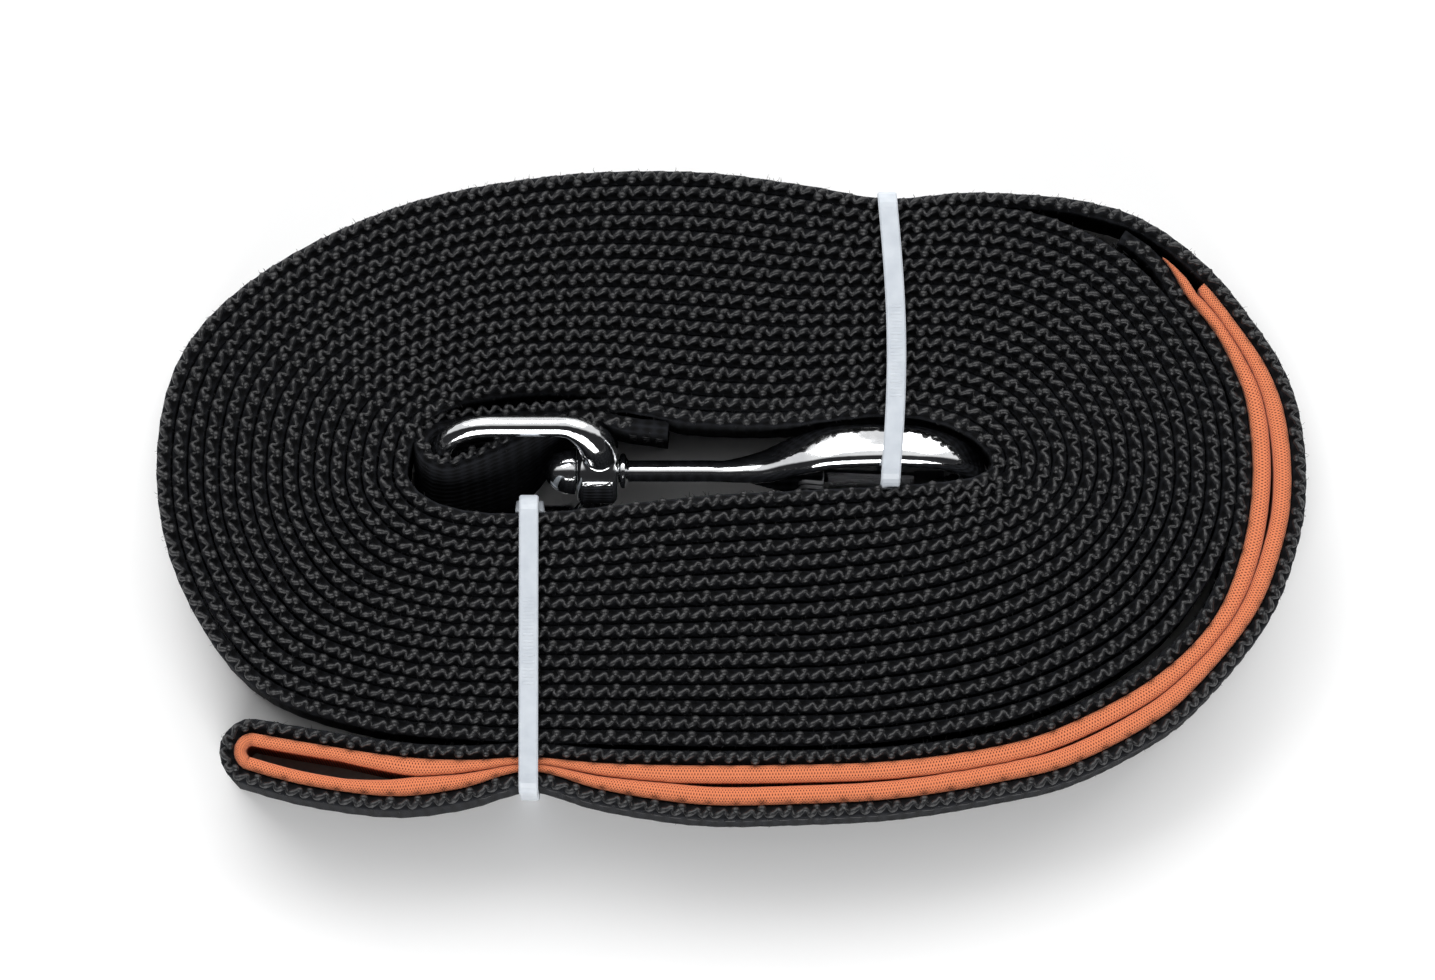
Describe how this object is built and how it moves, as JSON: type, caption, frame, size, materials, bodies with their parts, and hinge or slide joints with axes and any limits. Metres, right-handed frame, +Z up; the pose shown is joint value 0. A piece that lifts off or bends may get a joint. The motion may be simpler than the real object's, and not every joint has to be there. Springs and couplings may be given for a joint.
{
  "type": "training leash",
  "caption": "Long training leash of soft black webbing wound on edge into a flat oval hank, with a padded orange-lined hand loop, a chromed swivel snap and two cable ties",
  "frame": {"origin": "centre of the hank's footprint, on the surface that it rests on", "axes": "X along the hank's length, from the swivel eye to the hook; Y across the hank; Z up from the surface it lies on"},
  "size_m": [0.1664, 0.0945, 0.0234],
  "materials": {
    "webbing": "coarse knitted soft polypropylene webbing, charcoal black",
    "lining_knit": "fine orange polyester knit",
    "foam": "soft foam backing",
    "thread": "black polyester sewing thread",
    "chrome": "bright chromed zinc casting",
    "steel": "plated steel strip and wire",
    "nylon": "natural nylon, slightly translucent"
  },
  "bodies": {
    "root": {"line_windings": "webbing", "handle_loop": "webbing", "snap_end_fold": "webbing", "lining_cover": "lining_knit", "lining_foam": "foam", "snap_end_stitching": "thread", "handle_join_stitching": "thread", "lining_stitching": "thread", "swivel_eye": "chrome", "cable_tie_left": "nylon", "cable_tie_right": "nylon"},
    "hook": {"snap_hook": "chrome", "gate_pin": "steel", "gate_spring": "steel"},
    "gate": {"gate_lever": "steel"}
  },
  "joints": [
    {"name": "swivel", "type": "hinge", "parent": "root", "child": "hook", "pos_m": [-0.0193, 0.0039, 0.012], "axis": [1, 0, 0], "range_deg": [-3, 15]},
    {"name": "gate_hinge", "type": "hinge", "parent": "hook", "child": "gate", "pos_m": [0.011, 0.0024, 0.00918], "axis": [0, -0.8829, 0.4695], "range_deg": [0, 16], "stiffness_Nm_per_rad": 0.02, "springref_deg": -20.05}
  ]
}
